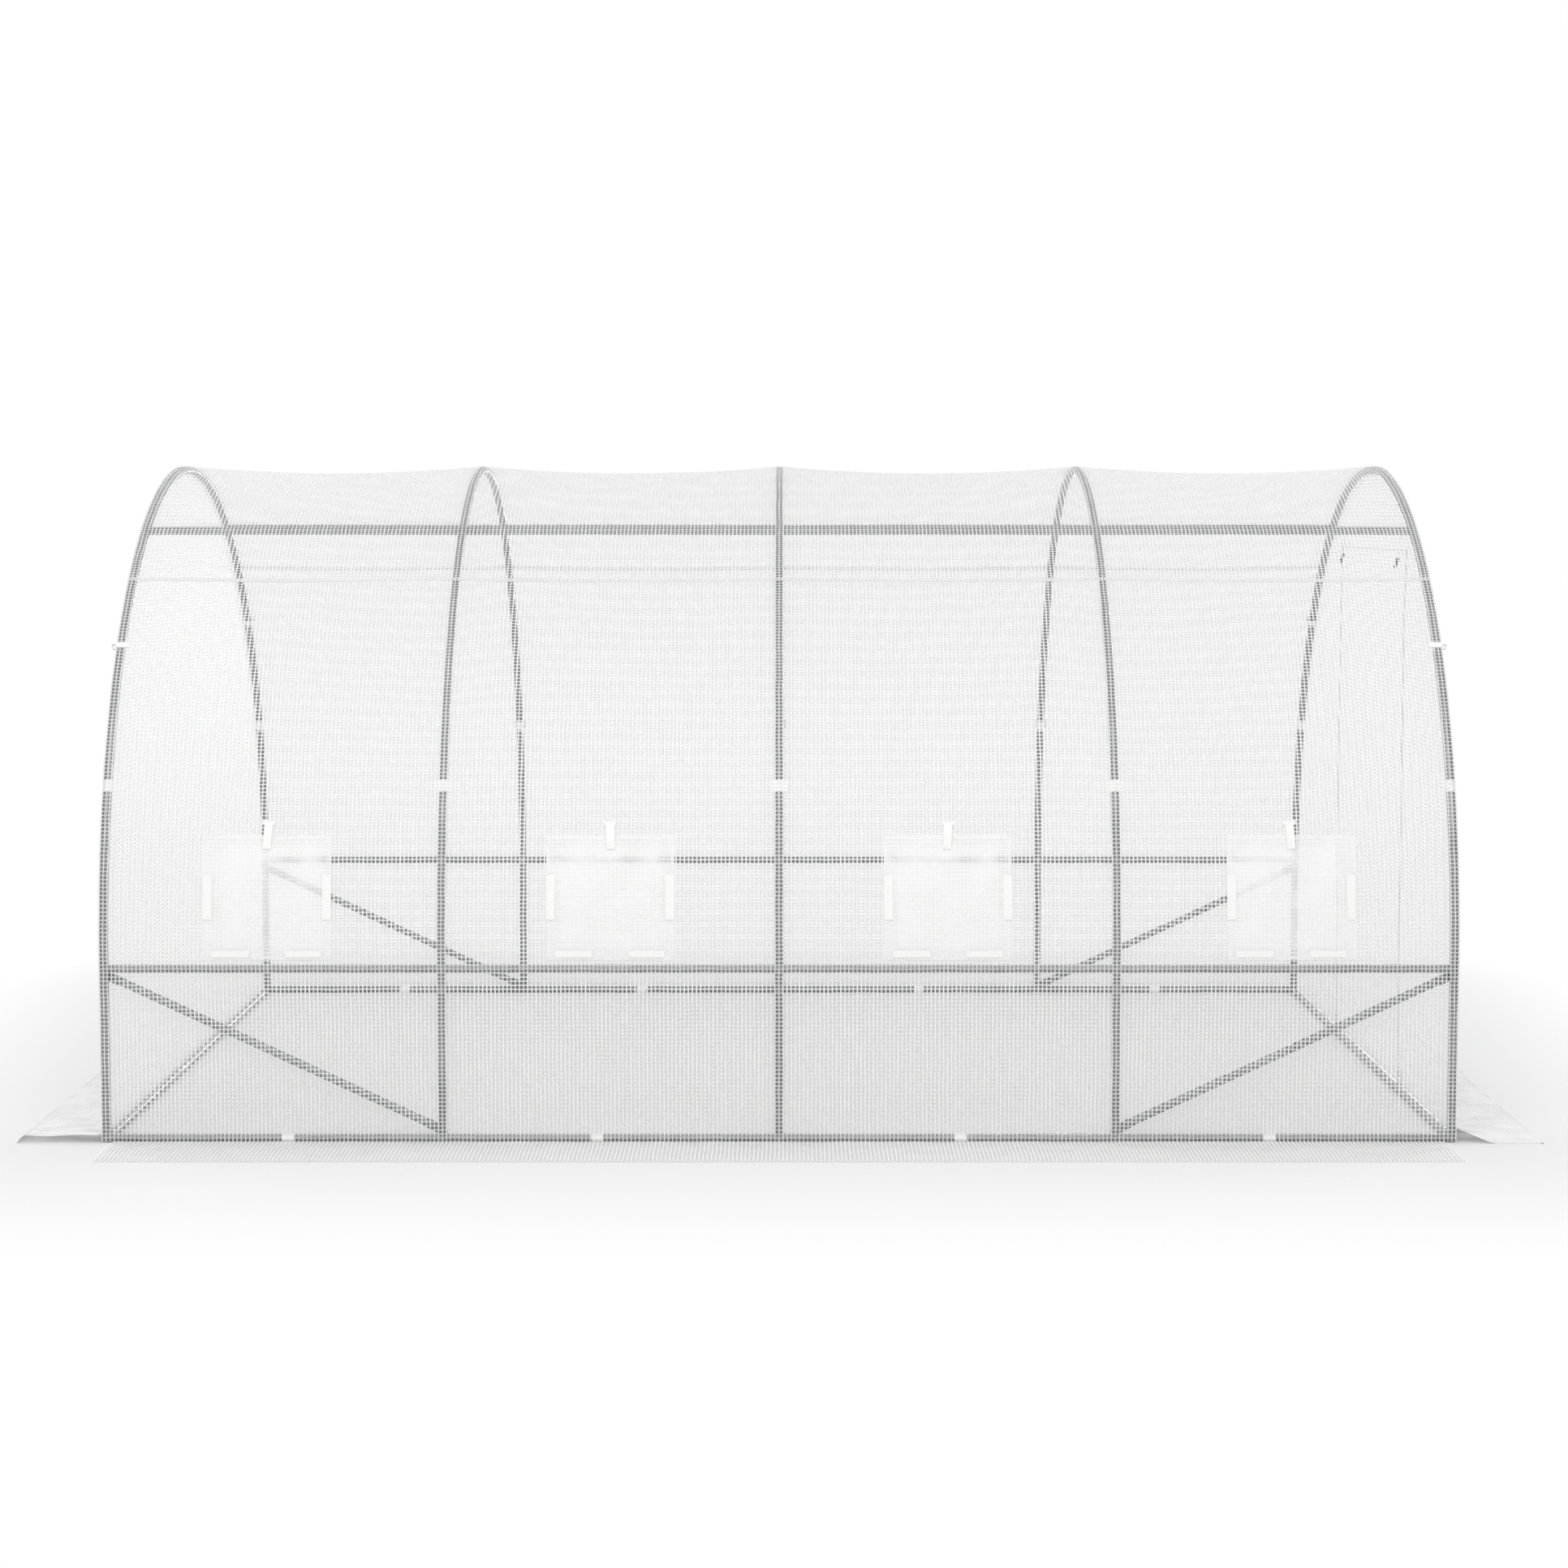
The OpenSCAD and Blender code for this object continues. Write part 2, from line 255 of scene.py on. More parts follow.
class Graph:
    """The node tree of a material or of the world. A value is a number or another node's output."""

    def __init__(self, tree):
        self.nodes = tree.nodes
        self.links = tree.links
        self.nodes.clear()

    def add(self, kind, **values):
        node = self.nodes.new(kind)
        for key, value in values.items():
            setattr(node, key, value)
        return node

    def put(self, value, socket):
        if isinstance(value, (int, float)):
            socket.default_value = value
        else:
            self.links.new(value, socket)

    def math(self, operation, *values):
        node = self.add("ShaderNodeMath", operation=operation)
        for socket, value in zip(node.inputs, values):
            self.put(value, socket)
        return node.outputs[0]

    def ramp(self, value, low, high, at_low, at_high):
        """A smooth ramp from one number to another."""
        node = self.add("ShaderNodeMapRange", interpolation_type="SMOOTHSTEP")
        self.put(value, node.inputs["Value"])
        for name, number in (("From Min", low), ("From Max", high), ("To Min", at_low), ("To Max", at_high)):
            node.inputs[name].default_value = number
        return node.outputs["Result"]

    def texture(self, kind, where, **inputs):
        node = self.add(kind)
        self.put(where, node.inputs["Vector"])
        for name, number in inputs.items():
            node.inputs[name].default_value = number
        return node.outputs

    def two_tone(self, value, dark, light, start=0.0, stop=1.0):
        """A colour that runs from dark to light."""
        node = self.add("ShaderNodeValToRGB")
        for element, place, colour in zip(node.color_ramp.elements, (start, stop), (dark, light)):
            element.position = place
            element.color = (*colour, 1)
        self.put(value, node.inputs["Fac"])
        return node.outputs["Color"]

    def bump(self, height, strength, distance):
        node = self.add("ShaderNodeBump")
        node.inputs["Strength"].default_value = strength
        node.inputs["Distance"].default_value = distance
        self.put(height, node.inputs["Height"])
        return node.outputs["Normal"]

    def principled(self, colour, roughness, normal=None):
        node = self.add("ShaderNodeBsdfPrincipled")
        self.put(colour, node.inputs["Base Color"])
        self.put(roughness, node.inputs["Roughness"])
        if normal is not None:
            self.put(normal, node.inputs["Normal"])
        return node

    def mix(self, share, first, second):
        """A mix of two shaders: share is how much of the second one shows."""
        node = self.add("ShaderNodeMixShader")
        self.put(share, node.inputs["Fac"])
        self.put(first.outputs[0], node.inputs[1])
        self.put(second.outputs[0], node.inputs[2])
        return node

    def seen(self):
        """1 for what the camera sees, also mirrored or through the film, and 0 for light cast on things."""
        rays = self.add("ShaderNodeLightPath").outputs
        seen = self.math("MAXIMUM", rays["Is Camera Ray"], rays["Is Glossy Ray"])
        return self.math("MAXIMUM", seen, rays["Is Transmission Ray"])

    def finish(self, shader, kind="ShaderNodeOutputMaterial"):
        self.put(shader.outputs[0], self.add(kind).inputs["Surface"])


def material(name):
    mat = bpy.data.materials.new(name)
    mat.use_nodes = True
    return mat, Graph(mat.node_tree)


def thread_mask(graph, place, drift, pitch, width):
    """1 on the threads that cross one coordinate, and 0 between them. The threads wander a little."""
    aside = graph.math("SUBTRACT", drift, 0.5)
    wandering = graph.math("MULTIPLY_ADD", aside, pitch * 0.4, place)
    distance = graph.math("PINGPONG", wandering, pitch / 2)
    return graph.ramp(distance, width * 0.40, width * 0.60, 1.0, 0.0)


def hidden_share(graph, weave, warp, weft, patches, pitch, shares):
    """How much the film hides. The warp varies along its length, and the cells from place to place."""
    warp_share, weft_share, cell_share = shares
    stretch = graph.add("ShaderNodeVectorMath", operation="MULTIPLY")
    stretch.inputs[1].default_value = (0.55 / pitch, 9.0, 1.0)
    graph.put(weave, stretch.inputs[0])
    streak = graph.texture("ShaderNodeTexNoise", stretch.outputs["Vector"], Scale=1.0, Detail=1.0)["Fac"]
    streaked = graph.ramp(streak, 0.3, 0.7, warp_share * 0.72, min(1.0, warp_share * 1.16))
    past_cells = graph.ramp(patches, 0.3, 0.7, 1 - cell_share * 0.6, 1 - cell_share * 1.4)
    past_warp = graph.math("SUBTRACT", 1.0, graph.math("MULTIPLY", warp, streaked))
    past_weft = graph.math("MULTIPLY_ADD", weft, -weft_share, 1.0)
    past = graph.math("MULTIPLY", graph.math("MULTIPLY", past_warp, past_weft), past_cells)
    return graph.math("SUBTRACT", 1.0, past)


def woven(name, shares, pitch=WEAVE_PITCH, width=THREAD, tone=0.89, through=0.30, warp_highlight=0.14, gloss=0.5):
    """White film with threads woven through it.

    shares says how much the warp, the weft and the cells between them hide. The warp is painted whiter than
    the weft and the cells by warp_highlight, a painted highlight as if the warp caught more light, and through
    is the share of light that glows through the film.
    """
    mat, graph = material(name)
    weave = graph.add("ShaderNodeUVMap", uv_map="weave").outputs["UV"]
    axes = graph.add("ShaderNodeSeparateXYZ")
    graph.put(weave, axes.inputs[0])
    drift = graph.add("ShaderNodeSeparateColor")
    graph.put(graph.texture("ShaderNodeTexNoise", weave, Scale=9.0, Detail=2.0)["Color"], drift.inputs[0])
    warp = thread_mask(graph, axes.outputs["X"], drift.outputs["Red"], pitch, width)
    weft = thread_mask(graph, axes.outputs["Y"], drift.outputs["Green"], pitch, width)
    threads = graph.math("MAXIMUM", warp, weft)
    alpha = hidden_share(graph, weave, warp, weft, drift.outputs["Blue"], pitch, shares)

    # Painted highlight: the warp threads are painted whiter than the weft and the cells, as if lit more
    # brightly
    white = graph.ramp(warp, 0.0, 1.0, tone - 0.6 * warp_highlight, tone + 0.4 * warp_highlight)
    roughness = graph.ramp(threads, 0.0, 1.0, 0.30, 0.48)
    shine = graph.principled(white, roughness, graph.bump(threads, 0.25, 0.0006))
    shine.inputs["Specular IOR Level"].default_value = gloss
    glow = graph.add("ShaderNodeBsdfTranslucent")
    graph.put(white, glow.inputs["Color"])
    clear = graph.add("ShaderNodeBsdfTransparent")
    graph.finish(graph.mix(alpha, clear, graph.mix(through, shine, glow)))
    return mat


def galvanised(name, dark, light):
    """Zinc-coated steel with faint spangle."""
    mat, graph = material(name)
    where = graph.add("ShaderNodeTexCoord").outputs["Object"]
    spangle = graph.texture("ShaderNodeTexVoronoi", where, Scale=140.0)["Distance"]
    grime = graph.texture("ShaderNodeTexNoise", where, Scale=6.0, Detail=4.0)["Fac"]
    blend = graph.math("MULTIPLY_ADD", spangle, 0.35, grime)
    colour = graph.two_tone(blend, dark, light, 0.35, 0.85)
    roughness = graph.ramp(grime, 0.3, 0.7, 0.18, 0.28)
    steel = graph.principled(colour, roughness, graph.bump(spangle, 0.06, 0.0004))
    steel.inputs["Metallic"].default_value = 0.45
    graph.finish(steel)
    return mat


def tape(name, tone, ribs):
    """White woven tape with a fine rib."""
    mat, graph = material(name)
    where = graph.add("ShaderNodeTexCoord").outputs["Object"]
    rib = graph.texture("ShaderNodeTexWave", where, Scale=ribs, Distortion=0.6)["Fac"]
    colour = graph.two_tone(rib, (tone * 0.93, tone * 0.93, tone * 0.925), (tone, tone, tone * 0.995))
    graph.finish(graph.principled(colour, 0.8, graph.bump(rib, 0.3, 0.0004)))
    return mat


def moulded(name, dark, light, roughness):
    """Moulded plastic with a slight grain."""
    mat, graph = material(name)
    where = graph.add("ShaderNodeTexCoord").outputs["Object"]
    grain = graph.texture("ShaderNodeTexNoise", where, Scale=400.0)["Fac"]
    gloss = graph.ramp(grain, 0.3, 0.7, roughness, roughness + 0.12)
    graph.finish(graph.principled(graph.two_tone(grain, dark, light), gloss))
    return mat


# Each film below paints its warp threads whiter as a painted highlight: strongly on the cover, seam and skirt
# films, slightly on the others
FILM = woven("cover_film", (0.84, 0.80, 0.09))
FLAP_FILM = woven("flap_film", (0.12, 0.37, 0.60), tone=0.985, warp_highlight=0.02)
SEAM_FILM = woven("seam_film", (0.70, 0.70, 0.32))
# The front and back skirts have no gloss, and their tone is raised a little above the cover film's as a painted
# sheen in its place
SKIRT_FILM = woven("skirt_film", (0.95, 0.92, 0.58), tone=0.91, through=0.12, gloss=0.0)
# The end skirts' whiter tone is painted light: a lighter copy of the skirt film, standing in for the extra
# light they catch
END_SKIRT_FILM = woven("end_skirt_film", (0.92, 0.91, 0.86), tone=0.97, through=0.12, warp_highlight=0.02, gloss=0.0)
NET = woven("window_net", (0.55, 0.55, 0.05), pitch=0.0022, width=0.0011, tone=0.96, warp_highlight=0.02)
STEEL = galvanised("galvanised_tube", (0.14, 0.14, 0.145), (0.24, 0.245, 0.25))
ZINC = galvanised("zinc_fixing", (0.30, 0.30, 0.31), (0.45, 0.45, 0.46))
TAPE = tape("white_webbing", 0.985, 140.0)
STRIP = tape("hook_strip", 0.99, 340.0)
ZIP = moulded("zip_coil", (0.16, 0.16, 0.165), (0.24, 0.24, 0.245), 0.4)
TOGGLE = moulded("dark_toggle", (0.030, 0.030, 0.032), (0.055, 0.055, 0.058), 0.45)


# Cover

def bay_share(x):
    """0 at a hoop and 1 in the middle of a bay."""
    t = ((x + HALF_L) / BAY) % 1.0
    return 4 * t * (1 - t)


def film_sag(x, s):
    """How far the film dips between the tubes that hold it, at s along the arch from the front."""
    angle = (s - SPRING) / COVER_R
    share = bay_share(max(-HALF_L, min(HALF_L, x)))
    if PURLIN <= angle <= math.pi - PURLIN:
        held = math.sin((angle - PURLIN) / (math.pi - 2 * PURLIN) * math.pi)
        depth = ROOF_SAG * max(0.0, held) ** 0.75
    elif 0 < angle < math.pi:
        held = math.sin(min(angle, math.pi - angle) / PURLIN * math.pi)
        depth = SIDE_SAG * max(0.0, held) ** 0.8
    else:
        height = max(0.0, min(1.0, min(s, ARCH_LENGTH - s) / SPRING))
        depth = 0.5 * SIDE_SAG * max(0.0, math.sin(height * math.pi)) ** 0.8
    wide_crease = 0.0016 * ripple(x * 0.6, s, 0.16, 3.0)
    fine_crease = 0.0010 * ripple(x, s * 0.5, 0.07, 8.0)
    slack = min(1.0, 4 * share) * min(1.0, depth / 0.004)
    return share * depth + slack * (wide_crease + fine_crease)


def arch_point(x, s, out=0.0):
    """A point of the cover at x along the tunnel and s round it from the ground at the front."""
    reach = COVER_R + out - film_sag(x, s)
    if s < SPRING:
        return Vector((x, -reach, s))
    if s > ARCH_LENGTH - SPRING:
        return Vector((x, reach, ARCH_LENGTH - s))
    angle = (s - SPRING) / COVER_R
    return Vector((x, -reach * math.cos(angle), SPRING + reach * math.sin(angle)))


def long_steps():
    """Steps along the tunnel that fall on every hoop and window edge."""
    runs = []
    for start, window in zip(HOOPS, WINDOWS):
        low, high = window - WINDOW_HALF, window + WINDOW_HALF
        runs += [steps(start, low, GRID), steps(low, high, GRID), steps(high, start + BAY, GRID)]
    return [-END_X] + joined(*runs) + [END_X]


def in_window(x, s):
    return HOLE_LOW < s < HOLE_HIGH and any(abs(x - window) < WINDOW_HALF for window in WINDOWS)


def film_weave(x, s):
    """Thread places on the cover: a thread runs along every hoop and side rail."""
    return (x, (s - SPRING) * WEAVE_PITCH / WEFT_PITCH)


def back_weave(x, s):
    return film_weave(x, ARCH_LENGTH - s)


def make_cover():
    across = long_steps()
    rise = joined(
        steps(FOOT, HOLE_LOW, GRID), steps(HOLE_LOW, HOLE_HIGH, GRID), steps(HOLE_HIGH, SEAM_S, GRID),
    )
    front = Shape()
    front.grid(across, rise, arch_point, film_weave, in_window)
    front = front.piece(
        "front_side_film", FILM, "cover_film", "front_wall_cover", "front_window_band", "front_shoulder_cover",
    )

    back = Shape()
    back.grid(across, [ARCH_LENGTH - s for s in reversed(rise)], arch_point, back_weave)
    back = back.piece(
        "back_side_film", FILM, "cover_film", "back_wall_cover", "back_band_cover", "back_shoulder_cover",
    )

    start, stop = SEAM_S - SEAM_LAP, ARCH_LENGTH - SEAM_S + SEAM_LAP
    roof = Shape()
    roof.grid(across, steps(start, stop, GRID), lambda x, s: arch_point(x, s, LAYER), film_weave)
    roof = roof.piece("roof_film", FILM, "cover_film", "roof_cover")
    seams = [make_seam("front", start, across), make_seam("back", stop - SEAM_TAPE, across)]


def make_seam(name, start, across):
    """The tape welded along the edge of the roof film."""
    shape = Shape()
    shape.grid(
        across, [start, start + SEAM_TAPE], lambda x, s: arch_point(x, s, 2 * LAYER), shifted(*SEAM_THREADS),
    )
    return shape.piece(f"{name}_roof_seam", SEAM_FILM, "cover_film")


# Windows

def flap_point(window, u, s, out=0.0):
    """A point of a closed window flap, slack in its middle."""
    gap, slack = 0.0024, 0.0030
    rise = math.cos(u / FLAP_HALF * math.pi / 2) * math.sin((s - FLAP_LOW) / FLAP_TALL * math.pi)
    rise = max(0.0, rise)
    crease = 0.0012 * ripple(u + 3 * window, s, 0.10, 5.0) * rise ** 0.5
    return arch_point(window + u, s, gap + slack * rise + crease + out)


def make_windows():
    net_inset = 0.0004
    net_across = steps(-WINDOW_HALF, WINDOW_HALF, GRID)
    net_along = steps(HOLE_LOW, HOLE_HIGH, GRID)
    flap_across = steps(-FLAP_HALF, FLAP_HALF, FLAP_GRID)
    flap_along = steps(FLAP_LOW, FLAP_HIGH, FLAP_GRID)
    for number, (window, shift) in enumerate(zip(WINDOWS, FLAP_SHIFTS), 1):
        net, flap = Shape(), Shape()
        net.grid(net_across, net_along, lambda u, s: arch_point(window + u, s, -net_inset))
        flap.grid(
            flap_across, flap_along, lambda u, s: flap_point(window + shift, u, s),
            shifted(FLAP_THREADS[0] * number, FLAP_THREADS[1]),
        )
        # The first net and flap stand for the CAD nodes, which hold all four
        net_nodes, flap_nodes = (["front_window_nets"], ["front_window_flaps"]) if number == 1 else ([], [])
        net = net.piece(f"window_net_{number}", NET, "window_net", *net_nodes)
        flap = flap.piece(f"window_flap_{number}", FLAP_FILM, "cover_film", *flap_nodes)
        trim = [
            make_flap_hems(number, window + shift),
            make_flap_strips(number, window + shift),
            make_flap_tie(number, window + shift),
        ]


def make_flap_hems(number, window):
    """The hems along the four edges of a window flap."""
    hems = Shape()
    weave = shifted(FLAP_THREADS[0] * number + FLAP_HEM_THREADS[0], FLAP_HEM_THREADS[1])

    def place(u, s):
        return flap_point(window, u, s, LAYER)

    for low in (-FLAP_HALF, FLAP_HALF - HEM):
        hems.grid([low, low + HEM], steps(FLAP_LOW, FLAP_HIGH, FLAP_GRID), place, weave)
    for low in (FLAP_LOW, FLAP_HIGH - HEM):
        hems.grid(steps(-FLAP_HALF, FLAP_HALF, FLAP_GRID), [low, low + HEM], place, weave)
    return hems.piece(f"window_hem_{number}", FLAP_FILM, "cover_film")


def make_flap_strips(number, window):
    """The hook-and-loop strips of a window flap: one on each side, and two along its foot."""
    thickness = 0.0012
    side_w, side_low, side_high = 0.026, FLAP_LOW + 0.32 * FLAP_TALL, FLAP_LOW + 0.68 * FLAP_TALL
    foot_low, foot_h = FLAP_LOW + 0.007, 0.020
    boxes = [(low, low + side_w, side_low, side_high) for low in (-FLAP_HALF, FLAP_HALF - side_w)]
    boxes += [(low, high, foot_low, foot_low + foot_h) for low, high in ((-0.163, -0.053), (0.054, 0.161))]
    strips = Shape()
    for low_u, high_u, low_s, high_s in boxes:
        for out in (2 * LAYER, 2 * LAYER + thickness):
            strips.grid(
                steps(low_u, high_u, STRIP_GRID), steps(low_s, high_s, STRIP_GRID),
                lambda u, s: flap_point(window, u, s, out),
            )
    return strips.piece(f"window_strips_{number}", STRIP, "white_webbing")


def make_flap_tie(number, window):
    """The webbing tie over a window flap, which holds it when it is rolled up, and the bar sewn across it."""
    length, width, thickness = 0.085, 0.024, 0.0014
    bar_half, bar_w, bar_t, bar_drop, bar_step = 0.019, 0.013, 0.0030, 0.006, 0.006
    gap, bow, hinge = 0.0080, 0.004, 0.04
    lean = FLAP_TIE_LEANS[number - 1]
    head = FLAP_HIGH + 0.044

    def place(drop):
        out = gap + bow * math.sin(drop / length * math.pi)
        return arch_point(window + lean * (drop - hinge), head - drop, out)

    tie = Shape()
    tie.ribbon([place(drop) for drop in steps(0.0, length, BAND_GRID)], AXIS_X, width, thickness)
    bar = [place(bar_drop) + AXIS_X * across for across in steps(-bar_half, bar_half, bar_step)]
    tie.ribbon(bar, AXIS_Z, bar_w, bar_t)
    return tie.piece(f"window_tie_{number}", TAPE, "white_webbing", smooth=False)


# Ends and door

def arch_top(y):
    """Height of the end wall's edge at y across the tunnel."""
    return SPRING + math.sqrt(max(0.0, COVER_R ** 2 - y * y))


def end_point(side, y, z, out=0.0):
    """A point of an end wall, slack between the hoop and the base rail."""
    held_edge, creased_foot = 0.35, 0.6
    edge = max(0.0, arch_top(y) - z)
    hold = min(1.0, edge / held_edge) * min(1.0, z / held_edge)
    slack = 0.006 + 0.004 * ripple(y * 1.4, z * 0.5, 0.30, 1.0) + 0.002 * ripple(y, z * 0.6, 0.10, 4.0)
    slack += 0.004 * max(0.0, 1 - z / creased_foot) * ripple(y * 1.2, z, 0.07, 9.0)
    return Vector((side * (END_X + out - hold * slack), y, z))


def end_film(name, node, side, low_y, high_y, base, top, out=0.0, trim=()):
    """A panel of an end wall, from base up to the height that top gives at each place."""
    across = steps(low_y, high_y, GRID)
    shape = Shape()

    def height(y, share):
        return base + (top(y) - base) * share

    shape.grid(
        across, steps(0.0, 1.0, GRID / 1.2),
        lambda y, share: end_point(side, y, height(y, share), out),
        lambda y, share: (y, height(y, share)),
    )
    obj = shape.piece(name, FILM, "cover_film", node)
    strip = across[1] - across[0]
    area = sum(strip * (top((a + b) / 2) - base) for a, b in zip(across, across[1:]))
    tall = max(top(y) for y in across) - base


def make_ends():
    rim = COVER_R - 0.0006
    left_binding, right_binding = make_binding("left", -1), make_binding("right", 1)
    end_film("left_end_film", "left_end_panel", -1, -rim, rim, FOOT, arch_top, trim=[left_binding])
    end_film("right_end_front_film", "right_end_front_panel", 1, -rim, -DOOR_HALF, FOOT, arch_top)
    end_film("right_end_back_film", "right_end_back_panel", 1, DOOR_HALF, rim, FOOT, arch_top)
    end_film(
        "right_end_top_film", "right_end_top_panel", 1, -DOOR_HALF, DOOR_HALF, DOOR_TOP - HEM, arch_top,
        trim=[right_binding, make_door_ties()],
    )
    end_film(
        "door_film", "door_panel", 1, -DOOR_HALF, DOOR_HALF, FOOT, lambda y: DOOR_TOP, LAYER,
        trim=[make_zips()],
    )


def make_binding(name, side):
    """The tape sewn over the edge where the cover meets an end wall."""
    on_cover, on_end = 0.004, 0.016
    face = side * (END_X + 0.001)
    rounds = steps(FOOT, ARCH_LENGTH - FOOT, GRID)

    def inward(depth, s):
        point = arch_point(0.0, s, 2 * LAYER - depth)
        return Vector((face, point.y, point.z))

    shape = Shape()
    shape.grid(
        sorted((face, side * (END_X - on_cover))), rounds, lambda x, s: arch_point(x, s, 2 * LAYER),
    )
    shape.grid([0.0, on_end], rounds, inward)
    return shape.piece(f"{name}_end_binding", SEAM_FILM, "cover_film")


def zip_point(side, z, out):
    """A point of a zip's middle line, which bows a little towards the middle of the door."""
    bow = 0.010 * math.sin(z / DOOR_TOP * math.pi)
    return end_point(1, side * DOOR_HALF - side * bow, z, out)


def make_zips():
    tape_out, tape_t, tape_foot, tape_step = 0.0022, 0.0009, 0.004, 0.03
    tooth_out, tooth_half, tooth_t, pitch, margin = 0.0034, 0.0042, 0.0018, 0.005, 0.01
    slider_out, slider_z, slider_half = 0.004, 0.05, 0.009
    slider_profile = [(0, 0.005), (0.004, 0.007), (0.014, 0.007), (0.018, 0.005)]
    pull_out, pull_w, pull_t, pull_l, pull_step = 0.006, 0.008, 0.0022, 0.04, 0.01
    tapes, teeth, sliders = Shape(), Shape(), Shape()
    for side in (-1, 1):
        heights = steps(tape_foot, DOOR_TOP, tape_step)
        tapes.ribbon([zip_point(side, z, tape_out) for z in heights], AXIS_Y, ZIP_W, tape_t)
        z = margin
        while z < DOOR_TOP - margin:
            centre = zip_point(side, z, tooth_out)
            ends = [centre - AXIS_Y * tooth_half, centre + AXIS_Y * tooth_half]
            teeth.ribbon(ends, AXIS_Z, pitch * 0.62, tooth_t)
            z += pitch
        base = zip_point(side, slider_z, slider_out)
        sliders.turned(base - AXIS_Z * slider_half, AXIS_Z, slider_profile, 10)
        pull = [base + AXIS_X * pull_out - AXIS_Z * drop for drop in steps(0.0, pull_l, pull_step)]
        sliders.ribbon(pull, AXIS_Y, pull_w, pull_t)
    teeth.piece("zip_teeth", ZIP, "dark_plastic", smooth=False)
    sliders.piece("zip_sliders", ZINC, "galvanised_steel")
    return tapes.piece("zip_tapes", TAPE, "white_webbing", "door_zips", smooth=False)


def toggle_profile(length, radius):
    """Two rounded barrels on a narrower waist."""
    barrel, waist_r, shoulder_r = 0.4 * length, 0.66 * radius, 0.9 * radius
    end = [(0, 0.5 * radius), (0.06 * length, shoulder_r), (0.5 * barrel, radius), (barrel, shoulder_r)]
    waist = [(0.45 * length, waist_r), (0.55 * length, waist_r)]
    return end + waist + [(length - distance, size) for distance, size in reversed(end)]


def make_door_ties():
    """The two ties and toggles that hold the rolled-up door, hung on the inside of the wall over it."""
    low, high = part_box("door_ties")
    toggle_low, toggle_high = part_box("door_toggles")
    tie_half = 0.007
    inset = high.y - tie_half
    length = toggle_high.z - toggle_low.z
    profile = toggle_profile(length, (toggle_high.x - toggle_low.x) / 2)
    lean = Vector((0.30, 0.0, 1.0)).normalized()
    band_w, band_t = 0.008, 0.0012
    patch_in, patch_w, patch_t = 0.0014, 0.024, 0.0010
    ties, toggles = Shape(), Shape()
    for side in (-1, 1):
        drops = steps(0.0, high.z - low.z, BAND_GRID)
        points = []
        for drop in drops:
            share = drop / drops[-1]
            sway = 0.006 * math.sin(share * math.pi * 1.4)
            hang = 0.0020 + 0.0120 * share ** 1.5
            points.append(end_point(1, side * inset + sway, high.z - drop, -hang))
        ties.ribbon(points, AXIS_Y, band_w, band_t)
        patch = [end_point(1, side * inset, high.z + rise, -patch_in) for rise in (-0.016, 0.0, 0.012)]
        ties.ribbon(patch, AXIS_Y, patch_w, patch_t)
        toggles.turned(points[-1] - lean * length / 2, lean, profile, 16)
    toggles.piece("door_tie_toggles", TOGGLE, "dark_plastic", "door_toggles")
    return ties.piece("door_tie_bands", TAPE, "white_webbing", "door_ties", smooth=False)


# Skirts

def wall_fold(share):
    """Height of the fold where a skirt leaves the wall, at a share of the way out from it."""
    return 0.003 * max(0.0, 1 - share / 0.05) ** 2


def side_skirt_point(side, x, y):
    """A point of the skirt along the front or the back, laid on the ground."""
    ground, tip_l = 0.0006, 0.25
    share = (y - SIDE_SKIRT_INNER) / (SIDE_SKIRT_Y - SIDE_SKIRT_INNER)
    wave = max(0.0, 0.0025 + 0.004 * ripple(x * 0.8, y * 0.5, 0.22, 2.0 * side))
    tip = 0.006 * max(0.0, (abs(x) - SIDE_SKIRT_X + tip_l) / tip_l) ** 2
    arched = math.sin(min(1.0, share) * math.pi)
    return Vector((x, side * y, ground + arched * (wave + tip) + wall_fold(share)))


def mouth_lift(side, share):
    """Height of a lifted front edge: the left one is open nearly all the way out, the right one at the wall."""
    if side > 0:
        return 0.045 * max(0.0, 1 - share / 0.42) ** 1.15
    to_edge = max(0.0, 1 - share)
    lift = 0.0240 * min(1.0, to_edge / 0.10) ** 0.6 + 0.002 * math.sin(share * 7.5)
    return lift * min(1.0, to_edge / 0.05)


def right_crease(share, y, x):
    """Height of the one sharp crease that runs out across the right skirt."""
    ridge = (y + 0.43 - 0.25 * (x - END_SKIRT_INNER)) / 0.022
    return 0.016 * math.exp(-ridge * ridge) * min(1.0, 2 * share)


def end_skirt_point(side, y, x):
    """A point of the skirt at an end, slack, with its front edge lifted off the ground."""
    ground, mouth_l = 0.0008, 0.42
    loose, draw = (0.012, 0.006) if side > 0 else (0.004, 0.012)
    share = (x - END_SKIRT_INNER) / (END_SKIRT_X - END_SKIRT_INNER)
    mouth = max(0.0, (-y - END_SKIRT_Y + mouth_l) / mouth_l) ** 2
    wave = max(0.0, 0.35 + ripple(y * 0.8, x * 0.9, 0.26, 6.0 + side))
    slack = loose * wave * math.sin(min(1.0, share) * math.pi)
    crease = right_crease(share, y, x) if side > 0 else 0.0
    height = ground + slack * (1 - mouth) + mouth * mouth_lift(side, share) + crease + wall_fold(share)
    return Vector((side * (x - draw * mouth * share ** 2), y, height))


